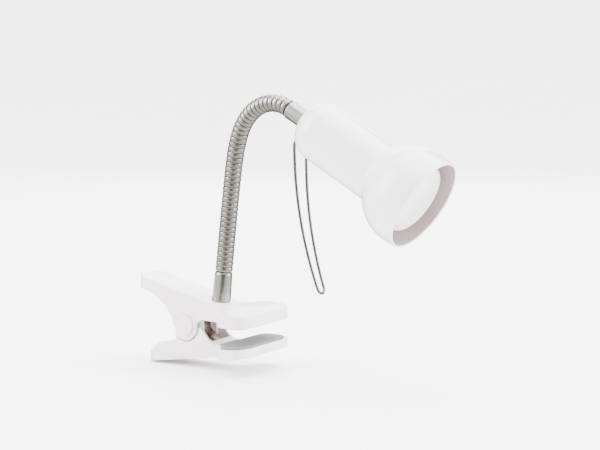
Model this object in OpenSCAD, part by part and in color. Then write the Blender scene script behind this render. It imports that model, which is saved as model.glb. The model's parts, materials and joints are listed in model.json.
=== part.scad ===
// Clip-on reading lamp: a sprung plastic clip, a flexible metal neck and a
// small white spot head with a wire handle.
// Millimetres, +Z up. The origin is the centre of the upper pad's grip face,
// where it rests on the board. +X runs from the handles to the jaw tips, and
// the lamp is symmetric about the plane y = 0.

/* [Clip] */
// Thickness of the board between the pads as the lamp stands
board_t = 12; // [8:0.5:15]
// Width of the jaws at their tips
jaw_w = 62; // [52:1:75]
// Length of the jaws' wide part, along X
jaw_l = 25; // [21:0.5:30]
// Corner radius of the jaws seen from above
jaw_corner_r = 10; // [7:0.5:10.4]
// Width of the clip's body and handles
body_w = 27; // [26:0.5:32.5]
// Distance from the pivot to the jaw tips
jaw_reach = 59; // [56:0.5:66]
// Distance from the pivot to the end of the upper handle
handle_reach = 44.5; // [38:0.5:54]
// Distance from the pivot to the end of the lower handle
lower_handle_reach = 36.5; // [33:0.5:42]
// Height of the pivot below the upper grip face
pivot_drop = 4; // [3.5:0.1:5]
// Height of the upper jaw's rim above the grip face, at the tips
jaw_h = 8.9; // [8:0.1:11]
// Thickness of the clip's side walls
wall = 2.2; // [1.6:0.1:2.7]
// Thickness of the clip's top and bottom plates
plate_t = 2.4; // [1.8:0.1:3]
// Slope of the upper jaw's top, in degrees
top_slope = 13.6; // [10:0.1:15]
// Slope of the lower jaw's bottom, in degrees
bottom_slope = 8.2; // [6:0.1:10]
// Radius of the hollow under the upper handle
finger_r = 32; // [28:0.5:34]
// Radius of the pivot ears
ear_r = 8.8; // [8:0.1:9.6]
// Radius of the pivot pin
pin_r = 2; // [1.5:0.1:2.5]
// Thickness of the soft pads
pad_t = 2.2; // [1.6:0.1:2.6]

/* [Jaw spring] */
// Thickness of the strip
strip_t = 0.8; // [0.6:0.1:1]
// Width of the strip
strip_w = 12; // [8:0.5:13]
// Outer radius of the bend
strip_r = 7.3; // [6.5:0.1:7.4]

/* [Neck] */
// Lean of the neck from upright at the clip, in degrees
neck_lean = 6.5; // [0:0.5:12]
// Direction of the head from upright, in degrees
head_dir = 119.5; // [90:0.5:140]
// Distance between two ribs of the hose
rib_pitch = 3.45; // [3.2:0.05:4.2]
// Radius of the hose over its ribs
hose_r = 5.9; // [5.8:0.1:7.1]
// Depth of the grooves between ribs
groove_d = 0.8; // [0.5:0.05:0.8]
// Radius of the hose's bore
bore_r = 2.7; // [2.5:0.1:3]
// Rib at which the bend sets in
bend_rib = 28; // [24:0.5:32]
// How gently the bend sets in, in ribs
bend_ease = 3; // [2:0.25:5]
// Length of the lower sleeve
sleeve_l = 20.6; // [17:0.2:25]
// Radius of the lower sleeve where it stands on the clip
sleeve_r = 6.55; // [6.3:0.05:7.5]
// Length of the upper sleeve outside the head
collar_l = 13.7; // [11:0.1:17]
// Radius of the upper sleeve
collar_r = 6.35; // [6.3:0.05:7]
// Radius of the threaded ends of both sleeves
thread_r = 5; // [4.8:0.1:5.2]

/* [Head] */
// Radius of the head's tube
tube_r = 20.1; // [19.6:0.1:24.5]
// Depth of the domed back
dome_d = 17; // [15:0.5:19]
// Length of the head from the domed back to the rim
head_l = 103.5; // [101:0.5:125]
// Radius of the ball that shapes the front bowl
bowl_r = 33; // [32.6:0.1:40]
// Distance of that ball's centre behind the rim
bowl_back = 9.3; // [8:0.1:12]
// Thickness of the head's sheet metal
shade_t = 1; // [0.8:0.1:1.5]

/* [Bulb] */
// Radius of the reflector bulb's face
bulb_r = 25; // [24:0.1:25.4]
// Length of the bulb with its cap
bulb_l = 85; // [84:0.5:86]
// Distance of the bulb's face behind the rim
bulb_set = 2.5; // [2:0.1:6]
// Radius of the screw cap over its thread
cap_r = 6.95; // [6.9:0.01:7]
// Radius of the lamp holder
holder_r = 14; // [13:0.1:14.5]

/* [Wire handle] */
// Radius of the wire
wire_r = 1; // [0.8:0.1:1.3]
// Distance between the two legs at the head
wire_gap = 15.2; // [12:0.2:18]
// Distance between the two legs at the U
wire_gap_low = 7.8; // [6:0.2:12]
// Distance of the wire's holes below the head's axis
wire_drop = 13; // [12:0.1:14]
// Radius of the long curve of the legs
wire_curve_r = 259; // [220:1:300]
// Angle that the long curve turns through, in degrees
wire_turn = 21.5; // [18:0.5:25]

/* [Hidden] */

$fn = 96;
eps = 0.01;
// Gap between pieces that move past each other
gap = 0.4;
// Gap round a piece that is fixed in a hole
fit = 0.15;
// A length that reaches past everything
far = 300;

// ---- Clip ----
front_x = jaw_l / 2 + 0.8;
pivot_x = front_x - jaw_reach;
pivot_z = -pivot_drop;
handle_x = pivot_x - handle_reach;
lower_handle_x = pivot_x - lower_handle_reach;
// The seat of the neck on the clip's top
seat_x = pivot_x + 20.5;
seat_z = jaw_h + 4.1;
// The flat front of the top starts here
knee_x = seat_x + 9;
knee_z = seat_z - 9 * tan(top_slope);
lower_knee_x = seat_x + 3;
skirt = 0.8;
lower_rim_back_z = -board_t - 3.2;
lower_rim_front_z = -board_t - 1;
lower_bottom_z = -board_t - 6.9;
// Inner cheeks of the lower jaw, on the pivot pin
cheek_out = body_w / 2 - wall - 1.9;
cheek_in = cheek_out - 2.4;
cheek_r = ear_r + 2.5;
ear_low = 1.6;
ear_clear_r = ear_r + ear_low + 0.8;
pin_fit = 0.05;
pin_head_t = 0.8;
cap_t = 1.4;
// Cord entry in the far side wall
entry_x = pivot_x + 7.8;
entry_z = seat_z - 4.8;
entry_r = 4;
entry_bore_r = 2.9;
flange_r = 5;
flange_t = 1;
pad_in = wall + 0.3;
rib_t = 1.8;
rib_x0 = front_x - jaw_l + 3;
rib_x1 = front_x - 3;
// Jaw spring: the centre of its bend, and its legs
bend_x = pivot_x + 14;
bend_z = pivot_z - 1;
upper_leg_l = 16;
lower_leg_l = 15;
leg_slope = 24;

// ---- Seat of the neck, along its own axis from the seat down ----
boss_r = 8.3;
boss_low = 3.4;
washer_t = 0.8;
nut_t = 2.8;
nut_flats = 14;
thread_end = 7.4;

// ---- Neck ----
LOWER_LINKS = 4;
UPPER_LINKS = 11;
LONG_LINK = 5;
SHORT_LINK = 2;
RIBS = LOWER_LINKS * LONG_LINK + UPPER_LINKS * SHORT_LINK;
crest_w = 1.3;
crest_slope = 0.25;
ball_r = hose_r - 1.2;
socket_r = ball_r + 0.3;
end_gap = 0.6;
root_r = hose_r - groove_d;
core_r = 0.95;
core_gap = 0.1;

function weight(i) = 1 / (1 + exp(-(i - bend_rib) / bend_ease));
function weights(n) = n < 0 ? 0 : weight(n) + weights(n - 1);
function along(angle) = [sin(angle), 0, cos(angle)];
// Direction of the neck at the start of rib i
function rib_angle(i) = neck_lean + (head_dir - neck_lean) * weights(i - 1) / weights(RIBS - 1);
function mid_angle(i) = (rib_angle(i) + rib_angle(i + 1)) / 2;
neck_start = [seat_x, 0, seat_z] + (sleeve_l + end_gap) * along(neck_lean);
// Centre of the neck at the start of rib i
function rib_pos(i) = i <= 0 ? neck_start : rib_pos(i - 1) + rib_pitch * along(mid_angle(i - 1));
function first_rib(k) = k <= LOWER_LINKS ? k * LONG_LINK : LOWER_LINKS * LONG_LINK + (k - LOWER_LINKS) * SHORT_LINK;
head_pos = rib_pos(RIBS);

// ---- Head, along its own axis from the end of the neck ----
dome_z = end_gap + collar_l;
rim_z = dome_z + head_l;
dome_flat_r = tube_r - dome_d;
bowl_z = rim_z - bowl_back;
seat_cut = 0.4;
inner_seat_z = dome_z + dome_d - sqrt(pow(dome_d - shade_t, 2) - pow(collar_r - dome_flat_r, 2)) + 0.1;
head_nut_z = inner_seat_z + 1;
cap_z = head_nut_z + nut_t + 0.3;

// ---- Bulb and holder ----
face_z = rim_z - bulb_set;
tip_z = face_z - bulb_l;
thread_z = tip_z + 3.6;
thread_l = 19;
cap_top_z = thread_z + thread_l + 4;
neck_glass_r = 8.6;
glass_t = 0.9;
holder_end_z = thread_z + thread_l + 1;
base_l = 6;
// The two terminals and their screws, either side of the contact
terminal_x = 10.6;
terminal_w = 3.6;
terminal_d = 3.8;
screw_r = 1.1;
shell_t = 0.5;
shell_r = cap_r + 0.25 + shell_t;

// ---- Wire handle, in the head's own plane: [down, forward] ----
wire_bend_r = 2;
function dome_height(r) = dome_d - sqrt(pow(dome_d, 2) - pow(r - dome_flat_r, 2));
wire_start = [wire_drop, dome_z + dome_height(norm([wire_drop, wire_gap / 2]))];
wire_entry = -25;
wire_lift = 28.2;
wire_end_turn = wire_lift + wire_turn;
wire_out = 0.3;
wire_in = 2;
entry_way = [cos(wire_entry), sin(wire_entry)];
bend_start = wire_start + wire_out * entry_way;
bend_end = bend_start
    + wire_bend_r * [sin(wire_lift) - sin(wire_entry), cos(wire_entry) - cos(wire_lift)];
curve_end = bend_end
    + wire_curve_r * [sin(wire_end_turn) - sin(wire_lift), cos(wire_lift) - cos(wire_end_turn)];
wire_hole_r = wire_r + 0.05;

// ================= Helpers =================

// A solid with the given outline in x and z, along the whole width
module along_y(width) {
    translate([0, width / 2, 0])
        rotate([90, 0, 0])
            linear_extrude(width)
                children();
}

// A rod across the clip at x, z
module cross_rod(x, z, r, width) {
    translate([x, width / 2, z])
        rotate([90, 0, 0])
            cylinder(r = r, h = width);
}

module both_sides() {
    children();
    mirror([0, 1, 0]) children();
}

module at_seat() {
    translate([seat_x, 0, seat_z])
        rotate([0, neck_lean, 0])
            children();
}

module at_head() {
    translate(head_pos)
        rotate([0, head_dir, 0])
            children();
}

module ring(r_out, r_in, z, h) {
    translate([0, 0, z])
        difference() {
            cylinder(r = r_out, h = h);
            translate([0, 0, -eps]) cylinder(r = r_in, h = h + 2 * eps);
        }
}

module hex_nut(z, hole_r) {
    translate([0, 0, z])
        difference() {
            cylinder(r = nut_flats / 2 / cos(30), h = nut_t, $fn = 6);
            translate([0, 0, -eps]) cylinder(r = hole_r, h = nut_t + 2 * eps);
        }
}

// Rounded rectangle from x0 to x1, half width y
module round_plate(x0, x1, y, r) {
    for (x = [x0 + r, x1 - r], s = [-1, 1])
        translate([x, s * (y - r)]) circle(r = r);
    translate([x0 + r, -y]) square([x1 - x0 - 2 * r, 2 * y]);
    translate([x0, -y + r]) square([x1 - x0, 2 * (y - r)]);
}

// The clip seen from above, drawn in by the given inset
module clip_plan(end_x, inset) {
    half = body_w / 2 - inset;
    wide_x = front_x - jaw_l + inset;
    flare_r = jaw_corner_r + inset;
    round_plate(wide_x, front_x - inset, jaw_w / 2 - inset, jaw_corner_r - inset);
    translate([end_x + body_w / 2, 0]) circle(r = half);
    translate([end_x + body_w / 2, -half]) square([wide_x + jaw_corner_r - end_x - body_w / 2, 2 * half]);
    // Flare where the body widens into the jaw
    for (s = [0, 1])
        mirror([0, s])
            difference() {
                translate([wide_x - flare_r, half - eps]) square([flare_r + eps, flare_r]);
                translate([wide_x - flare_r, half + flare_r]) circle(r = flare_r);
            }
}

// ================= Clip =================

function top_z(x) = seat_z - (x - seat_x) * tan(top_slope);
function bottom_z(x) = lower_bottom_z + (x - front_x) * tan(bottom_slope);

module upper_side() {
    difference() {
        polygon([
            [handle_x, top_z(handle_x)], [knee_x, knee_z], [front_x, jaw_h], [front_x, skirt],
            [pivot_x + ear_r + 3, skirt], [pivot_x + ear_r, skirt - 3], [pivot_x + ear_r, pivot_z - ear_low],
            [pivot_x - ear_r, pivot_z - ear_low], [handle_x, pivot_z - ear_low]]);
        translate([pivot_x - ear_r - finger_r, pivot_z - 9.5]) circle(r = finger_r);
        // Round end of the handle, seen from the side
        difference() {
            translate([handle_x - 1, 0]) square([5, far / 6]);
            translate([handle_x + 5, top_z(handle_x + 5) - 6.2]) circle(r = 6);
        }
    }
    translate([pivot_x, pivot_z - ear_low]) circle(r = ear_r);
}

module upper_inside() {
    polygon([
        [-far, top_z(-far) - plate_t], [knee_x, knee_z - plate_t], [front_x, jaw_h - plate_t],
        [far, jaw_h - plate_t], [far, -far], [-far, -far]]);
}

module upper_jaw() {
    color("white")
    difference() {
        union() {
            difference() {
                intersection() {
                    along_y(jaw_w + 2) upper_side();
                    translate([0, 0, -far / 2]) linear_extrude(far) clip_plan(handle_x, 0);
                }
                intersection() {
                    along_y(jaw_w + 2) upper_inside();
                    translate([0, 0, -far / 2]) linear_extrude(far) clip_plan(handle_x, wall);
                }
            }
            at_seat() translate([0, 0, -boss_low]) cylinder(r = boss_r, h = boss_low);
            // Inside faces of the ears, next to the cheeks
            both_sides()
                translate([pivot_x, body_w / 2 - wall + eps, pivot_z])
                    rotate([90, 0, 0])
                        cylinder(r = pin_r + 3, h = 1.9 - gap);
            // Ribs that back the pad
            for (y = [-jaw_w / 4, 0, jaw_w / 4])
                translate([rib_x0, y - rib_t / 2, pad_t])
                    cube([rib_x1 - rib_x0, rib_t, jaw_h - pad_t - 1]);
            // Shelf that the spring's upper leg presses on
            translate([bend_x + upper_leg_l - 6, -body_w / 2 + 1, bend_z + strip_r - strip_t - 1.25])
                cube([5, body_w - 2, 1.2]);
        }
        at_seat() translate([0, 0, -far / 2]) cylinder(r = thread_r + fit, h = far / 2 + eps);
        at_seat() cylinder(r = sleeve_r + fit, h = 3);
        cross_rod(pivot_x, pivot_z, pin_r + pin_fit, body_w + 2);
        // Shallow seats for the pivot caps
        both_sides() oval_cap(body_w / 2 - 0.6, 2, fit);
        // Cord entry
        translate([entry_x, body_w / 2 - wall - 1, entry_z])
            rotate([-90, 0, 0])
                cylinder(r = entry_r, h = wall + 2);
    }
}

// A flat oval on the far side of the pivot, from y outwards
module oval_cap(y, t, extra) {
    for (dz = [-2.2, 0])
        translate([pivot_x, y, pivot_z + 1.1 + dz])
            rotate([-90, 0, 0])
                cylinder(r = 6 + extra, h = t);
    translate([pivot_x - 6 - extra, y, pivot_z - 1.1])
        cube([12 + 2 * extra, t, 2.2]);
}

module pivot_caps() {
    color("white")
    difference() {
        both_sides() oval_cap(body_w / 2 - 0.6, cap_t + 0.6, 0);
        both_sides()
            translate([pivot_x, body_w / 2 - 0.6 - eps, pivot_z])
                rotate([-90, 0, 0])
                    cylinder(r = pin_r + fit, h = pin_head_t + 0.1);
    }
}

module pivot_pin() {
    color("silver")
        cross_rod(pivot_x, pivot_z, pin_r, body_w - 1.2 + 2 * pin_head_t);
}

module lower_side() {
    difference() {
        polygon([
            [lower_handle_x, bottom_z(lower_handle_x)],
            [lower_handle_x, bottom_z(lower_handle_x) + 6.8],
            [lower_handle_x + 6, bottom_z(lower_handle_x) + 7.6],
            [lower_handle_x + 13.5, bottom_z(lower_handle_x) + 14.6],
            [pivot_x - 7, bottom_z(pivot_x) + 12.6],
            [pivot_x + 12, bottom_z(pivot_x) + 23],
            [pivot_x + 14.5, bottom_z(pivot_x) + 20],
            [pivot_x + 18.5, lower_rim_back_z + 3],
            [lower_knee_x, lower_rim_back_z],
            [front_x, lower_rim_front_z],
            [front_x, lower_bottom_z]]);
        translate([pivot_x, pivot_z]) circle(r = ear_clear_r);
    }
}

module lower_inside() {
    polygon([
        [-far, bottom_z(-far) + plate_t], [front_x, lower_bottom_z + plate_t],
        [far, lower_bottom_z + plate_t], [far, far], [-far, far]]);
}

module lower_jaw() {
    color("white")
    difference() {
        union() {
            difference() {
                intersection() {
                    along_y(jaw_w + 2) lower_side();
                    translate([0, 0, -far / 2]) linear_extrude(far) clip_plan(lower_handle_x, 0);
                }
                intersection() {
                    along_y(jaw_w + 2) lower_inside();
                    translate([0, 0, -far / 2]) linear_extrude(far) clip_plan(lower_handle_x, wall);
                }
            }
            // Cheeks that carry the pivot pin
            both_sides()
                translate([0, cheek_out, 0])
                    rotate([90, 0, 0])
                        linear_extrude(cheek_out - cheek_in)
                            difference() {
                                union() {
                                    translate([pivot_x, pivot_z]) circle(r = cheek_r);
                                    polygon([
                                        [pivot_x - cheek_r, pivot_z], [pivot_x + cheek_r, pivot_z],
                                        [pivot_x + cheek_r, bottom_z(pivot_x + cheek_r) + 1],
                                        [pivot_x - cheek_r, bottom_z(pivot_x - cheek_r) + 1]]);
                                }
                                translate([pivot_x, pivot_z]) circle(r = pin_r + pin_fit);
                            }
            // Ribs that back the pad
            for (y = [-jaw_w / 4, 0, jaw_w / 4])
                translate([0, y, 0])
                    along_y(rib_t)
                        polygon([
                            [rib_x0, bottom_z(rib_x0) + 1], [rib_x1, bottom_z(rib_x1) + 1],
                            [rib_x1, -board_t - pad_t], [rib_x0, -board_t - pad_t]]);
            // Shelf that the spring's lower leg presses on
            along_y(body_w - 2)
                at_lower_leg() translate([lower_leg_l - 6, 0.05]) square([5, 1.2]);
        }
    }
}

// From the bend to the start of the spring's lower leg, x along its upper face
module at_lower_leg() {
    translate([bend_x, bend_z])
        rotate(-leg_slope)
            translate([0, -strip_r + strip_t])
                children();
}

module pad_plan() {
    intersection() {
        clip_plan(handle_x, pad_in);
        translate([front_x - jaw_l + pad_in, -jaw_w]) square([jaw_l, 2 * jaw_w]);
    }
}

module upper_pad() {
    color("dimgray")
        linear_extrude(pad_t) pad_plan();
}

module lower_pad() {
    color("dimgray")
        translate([0, 0, -board_t - pad_t])
            linear_extrude(pad_t) pad_plan();
}

// The strip seen from the side: a leg, a bend behind its centre, a leg
module jaw_spring() {
    bottom = 270 - leg_slope;
    steps = 26;
    inner_r = strip_r - strip_t;
    function at_bend(r, a) = [bend_x + r * cos(a), bend_z + r * sin(a)];
    function lower_tip(r) = at_bend(r, bottom) + lower_leg_l * [cos(leg_slope), -sin(leg_slope)];
    color("saddlebrown")
    along_y(strip_w)
        polygon(concat(
            [[bend_x + upper_leg_l, bend_z + strip_r]],
            [for (i = [0 : steps]) at_bend(strip_r, 90 + i * (bottom - 90) / steps)],
            [lower_tip(strip_r), lower_tip(inner_r)],
            [for (i = [0 : steps]) at_bend(inner_r, bottom - i * (bottom - 90) / steps)],
            [[bend_x + upper_leg_l, bend_z + inner_r]]));
}

module cord_grommet() {
    color("white")
    translate([entry_x, body_w / 2 - wall, entry_z])
        rotate([-90, 0, 0])
            difference() {
                union() {
                    cylinder(r = entry_r - 0.05, h = wall);
                    translate([0, 0, wall]) cylinder(r1 = flange_r, r2 = flange_r - 0.8, h = flange_t + 0.8);
                    translate([0, 0, -flange_t]) cylinder(r = flange_r, h = flange_t);
                }
                translate([0, 0, -flange_t - eps]) cylinder(r = entry_bore_r, h = far / 10);
            }
}

// ================= Neck =================

module lower_sleeve() {
    shoulder = 1.2;
    color("silver")
    at_seat()
        difference() {
            union() {
                cylinder(r1 = sleeve_r, r2 = sleeve_r - 0.5, h = sleeve_l - shoulder);
                translate([0, 0, sleeve_l - shoulder])
                    cylinder(r1 = sleeve_r - 0.5, r2 = root_r, h = shoulder);
                translate([0, 0, -thread_end]) cylinder(r = thread_r, h = thread_end + eps);
                rotate_extrude() ball_outline(sleeve_l + end_gap);
            }
            translate([0, 0, -thread_end - eps]) cylinder(r = bore_r, h = far);
        }
}

module sleeve_washer() {
    color("silver")
        at_seat() ring(thread_r + 2.6, thread_r + fit, -boss_low - washer_t, washer_t);
}

module sleeve_nut() {
    color("silver")
        at_seat() hex_nut(-boss_low - washer_t - nut_t, thread_r);
}

// Half outline of a ball that the next link turns on, at height z
module ball_outline(z) {
    intersection() {
        translate([0, z]) circle(r = ball_r);
        translate([bore_r, z - ball_r]) square([ball_r, 2 * ball_r]);
    }
}

// A short length of hose on one straight axis: ribs between a socket that
// turns on the ball below and a ball for the next length
module link(k) {
    first = first_rib(k);
    count = first_rib(k + 1) - first;
    chord = rib_pos(first + count) - rib_pos(first);
    pitch = norm(chord) / count;
    foot = crest_w / 2 + crest_slope;
    low = pitch / 2 - foot;
    high = norm(chord) - low;
    color("gainsboro")
    translate(rib_pos(first))
        rotate([0, atan2(chord[0], chord[2]), 0])
            rotate_extrude()
                difference() {
                    union() {
                        polygon(concat(
                            [[bore_r, low], [root_r, low]],
                            [for (i = [0 : count - 1], p = [[root_r, -foot], [hose_r, -crest_w / 2], [hose_r, crest_w / 2], [root_r, foot]])
                                [p[0], p[1] + (i + 0.5) * pitch]],
                            [[root_r, high], [bore_r, high]]));
                        ball_outline(norm(chord));
                    }
                    circle(r = socket_r);
                }
}

// The lead: two cores side by side, whole from the clip to the lamp holder
lead_points = concat(
    [[entry_x - 1.5, body_w / 2 - wall - 4, entry_z - 0.9], [entry_x + 1, 5.6, entry_z - 2.6],
     [entry_x + 5, 2.8, entry_z - 3.8], [entry_x + 8.4, 1, entry_z - 4.35]],
    [for (d = [[-9.3, -1], [-7.4, -0.1], [-5, 0], [0, 0], [sleeve_l / 2, 0], [sleeve_l - 2, 0]])
        [seat_x, 0, seat_z] + d[0] * along(neck_lean) + [d[1], 0, 0]],
    [for (i = [0 : 2 : RIBS]) rib_pos(i)],
    [for (d = [4, collar_l, cap_z + base_l - 0.6]) head_pos + d * along(head_dir)]);

function unit(v) = v / norm(v);

// A round tube along the points, its ring carried on from one point to the
// next without twist, and shifted sideways along the ring's first direction
module tube_along(points, r, shift, sides, first_side) {
    count = len(points);
    step = 360 / sides;
    function ahead(i) = unit(points[min(i + 1, count - 1)] - points[max(i - 1, 0)]);
    function square_to(v, i) = unit(v - (v * ahead(i)) * ahead(i));
    function side_of(i) = square_to(i == 0 ? first_side : side_of(i - 1), i);
    ring_points = [for (i = [0 : count - 1]) let (u = side_of(i), v = cross(ahead(i), u)) for (s = [0 : sides - 1])
        points[i] + u * (shift + r * cos(s * step)) + v * r * sin(s * step)];
    sides_faces = [for (i = [0 : count - 2], s = [0 : sides - 1])
        [i * sides + s, (i + 1) * sides + s, (i + 1) * sides + (s + 1) % sides, i * sides + (s + 1) % sides]];
    start_face = [[for (s = [0 : sides - 1]) s]];
    end_face = [[for (s = [sides - 1 : -1 : 0]) (count - 1) * sides + s]];
    polyhedron(ring_points, concat(sides_faces, start_face, end_face));
}

module lead() {
    color("white")
        for (s = [-1, 1])
            tube_along(lead_points, core_r, s * (core_r + core_gap), 8, [0, 1, 0]);
}

// ================= Head =================

module upper_sleeve() {
    lip = 0.8;
    color("silver")
    at_head()
        difference() {
            union() {
                translate([0, 0, end_gap]) cylinder(r1 = collar_r - lip, r2 = collar_r, h = lip);
                translate([0, 0, end_gap + lip]) cylinder(r = collar_r, h = collar_l - lip + seat_cut);
                translate([0, 0, dome_z]) cylinder(r = thread_r, h = cap_z + 5 - dome_z);
            }
            sphere(r = socket_r);
            cylinder(r = bore_r, h = far);
        }
}

// The head's closed form, with its surface drawn in by the given amount
module head_form(inset, reach) {
    rotate_extrude()
        intersection() {
            union() {
                translate([dome_flat_r, dome_z + dome_d]) circle(r = dome_d - inset);
                translate([0, dome_z + inset]) square([dome_flat_r, dome_d]);
                translate([0, dome_z + dome_d]) square([tube_r - inset, head_l - dome_d - bowl_back]);
            }
            square([far, far]);
        }
    intersection() {
        translate([0, 0, bowl_z]) sphere(r = bowl_r - inset);
        translate([0, 0, dome_z + dome_d]) cylinder(r = bowl_r + 1, h = rim_z + reach - dome_z - dome_d);
    }
}

module shade() {
    color("white")
    at_head()
        difference() {
            head_form(0, 0);
            head_form(shade_t, 1);
            // Flat seat and hole for the upper sleeve
            translate([0, 0, dome_z - 1]) cylinder(r = collar_r + 0.05, h = 1 + seat_cut);
            cylinder(r = thread_r + fit, h = dome_z + 5);
            for (s = [-1, 1])
                translate([wire_start[0], s * wire_gap / 2, wire_start[1]]) rotate([0, 90 - wire_entry, 0])
                    translate([0, 0, -1.5 * wire_in]) cylinder(r = wire_hole_r, h = 3 * wire_in);
        }
}

module shade_washer() {
    color("silver")
        at_head() ring(collar_r, thread_r + fit, inner_seat_z, 1);
}

module shade_nut() {
    color("silver")
        at_head() hex_nut(head_nut_z, thread_r);
}

module holder_cap() {
    color("white")
    at_head()
        difference() {
            union() {
                translate([0, 0, cap_z]) cylinder(r1 = holder_r - 3, r2 = holder_r, h = 2.2);
                translate([0, 0, cap_z + 2.2]) cylinder(r = holder_r, h = base_l - 2.2);
            }
            translate([0, 0, cap_z + 2.5]) cylinder(r = holder_r - 1.2, h = base_l);
            translate([0, 0, cap_z - eps]) cylinder(r = thread_r, h = 4);
        }
}

// Height of the holder's inner floor, under the bulb's contact
floor_z = tip_z - 1.2;

module holder_body() {
    start = cap_z + base_l;
    color("white")
    at_head()
        difference() {
            union() {
                translate([0, 0, start]) cylinder(r = holder_r, h = 5);
                translate([0, 0, start + 5]) cylinder(r1 = holder_r, r2 = shell_r + 2.2, h = 3);
                translate([0, 0, start + 8]) cylinder(r = shell_r + 2.2, h = holder_end_z - start - 8);
            }
            translate([0, 0, floor_z]) cylinder(r = shell_r + 0.05, h = far);
            // Pockets for the terminals, open to the cap
            for (s = [-1, 1])
                translate([s * terminal_x - terminal_w / 2 - 0.1, -3.1, start - eps])
                    cube([terminal_w + 0.2, 6.2, terminal_d + 0.2]);
        }
}

module holder_shell() {
    color("goldenrod")
        at_head() ring(shell_r, shell_r - shell_t, floor_z + 3, holder_end_z - floor_z - 4);
}

module holder_contact() {
    color("goldenrod")
    at_head() {
        translate([-1.8, -5, floor_z]) cube([3.6, 9, 0.5]);
        translate([-1.8, -5, floor_z]) cube([3.6, 0.6, 1]);
        translate([0, 0, floor_z + 0.5 - eps]) cylinder(r = 1.6, h = tip_z - floor_z - 0.55);
    }
}

module holder_terminals() {
    color("goldenrod")
    at_head()
        for (s = [-1, 1])
            difference() {
                translate([s * terminal_x - terminal_w / 2, -3, cap_z + base_l])
                    cube([terminal_w, 6, terminal_d]);
                translate([s * terminal_x, 0, cap_z + base_l - eps])
                    cylinder(r = screw_r + 0.05, h = terminal_d - 0.8);
            }
}

module terminal_screws() {
    start = cap_z + base_l;
    color("silver")
    at_head()
        for (s = [-1, 1]) {
            translate([s * terminal_x, 0, start - eps]) cylinder(r = screw_r, h = terminal_d - 1);
            difference() {
                translate([s * terminal_x, 0, start - 1.3]) cylinder(r = 1.9, h = 1.3);
                translate([s * terminal_x - 2, -0.3, start - 1.4]) cube([4, 0.6, 0.7]);
            }
        }
}

// ================= Bulb =================

// Outline of the bulb's glass as [radius, height], drawn in by the given amount
function glass_outline(inset) = [
    [0, cap_top_z + inset],
    [neck_glass_r - inset, cap_top_z + inset],
    [neck_glass_r + 0.4 - inset, cap_top_z + 3],
    [neck_glass_r + 3.4 - inset, face_z - 36],
    [bulb_r - 4.2 - inset, face_z - 19],
    [bulb_r - 1.4 - inset, face_z - 14],
    [bulb_r - inset, face_z - 9],
    [bulb_r - 0.6 - inset, face_z - 5.5],
    [bulb_r - 2.4 - inset / 2, face_z - 3 - inset / 2],
    [bulb_r - 5.5 - inset / 2, face_z - 1.6 - inset],
    [bulb_r / 2, face_z - 0.4 - inset],
    [0, face_z - inset]];

module bulb_glass() {
    color("whitesmoke")
    at_head()
        difference() {
            rotate_extrude() polygon(glass_outline(0));
            rotate_extrude() polygon(glass_outline(glass_t));
        }
}

module bulb_cap() {
    color("silver")
    at_head()
        difference() {
            union() {
                translate([0, 0, thread_z]) cylinder(r = cap_r - 0.8, h = thread_l);
                for (i = [0 : 5])
                    translate([0, 0, thread_z + 1.8 + i * 2.82])
                        rotate_extrude()
                            polygon([[3, -0.9], [cap_r - 0.8, -0.9], [cap_r, -0.3], [cap_r, 0.3], [cap_r - 0.8, 0.9], [3, 0.9]]);
                translate([0, 0, thread_z + thread_l]) cylinder(r1 = cap_r - 0.8, r2 = neck_glass_r, h = 4);
            }
            translate([0, 0, thread_z - eps]) cylinder(r = cap_r - 1.3, h = thread_l);
            translate([0, 0, thread_z + thread_l - 2 * eps]) cylinder(r1 = cap_r - 1.3, r2 = neck_glass_r - 0.5, h = 4 + 3 * eps);
        }
}

module bulb_insulator() {
    color("dimgray")
        at_head()
            translate([0, 0, tip_z + 0.8]) cylinder(r1 = 3, r2 = cap_r - 1.4, h = thread_z - tip_z + 0.4);
}

module bulb_contact() {
    color("silver")
        at_head()
            translate([0, 0, tip_z]) cylinder(r1 = 1.6, r2 = 2.4, h = 0.8);
}

stem_z = cap_top_z + glass_t;

module bulb_stem() {
    color("whitesmoke")
    at_head() {
        translate([0, 0, stem_z]) cylinder(r1 = 5, r2 = 2.2, h = 12);
        translate([0, 0, stem_z + 12]) cylinder(r = 1.4, h = 10);
    }
}

module bulb_filament() {
    span = 9;
    color("silver")
    at_head() {
        for (s = [-1, 1])
            translate([s * span / 2, 0, stem_z + 20])
                cylinder(r = 0.3, h = 12);
        for (s = [-1, 1])
            translate([0, 0, stem_z + 20])
                rotate([0, s * 90, 0])
                    translate([0, 0, 1.4]) cylinder(r = 0.3, h = span / 2 - 1.1);
        translate([-span / 2, 0, stem_z + 32])
            rotate([0, 90, 0])
                cylinder(r = 0.45, h = span);
    }
}

// ================= Wire handle =================

// Points of one leg in the head's plane, from its end inside the head down
bend_steps = 8;
curve_steps = 16;
turn_steps = 14;
function leg_point(p, t, s) = [p[0], s * (wire_gap + t * (wire_gap_low - wire_gap)) / 2, p[1]];
function arc_from(start, r, a0, a) = start + r * [sin(a) - sin(a0), cos(a0) - cos(a)];
function leg(s) = concat(
    [for (d = [-wire_in, 0]) leg_point(wire_start + d * entry_way, 0, s)],
    [for (i = [0 : bend_steps])
        leg_point(arc_from(bend_start, wire_bend_r, wire_entry,
            wire_entry + i * (wire_lift - wire_entry) / bend_steps), 0, s)],
    [for (i = [1 : curve_steps])
        leg_point(arc_from(bend_end, wire_curve_r, wire_lift,
            wire_lift + i * wire_turn / curve_steps), i / curve_steps, s)]);
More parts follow.
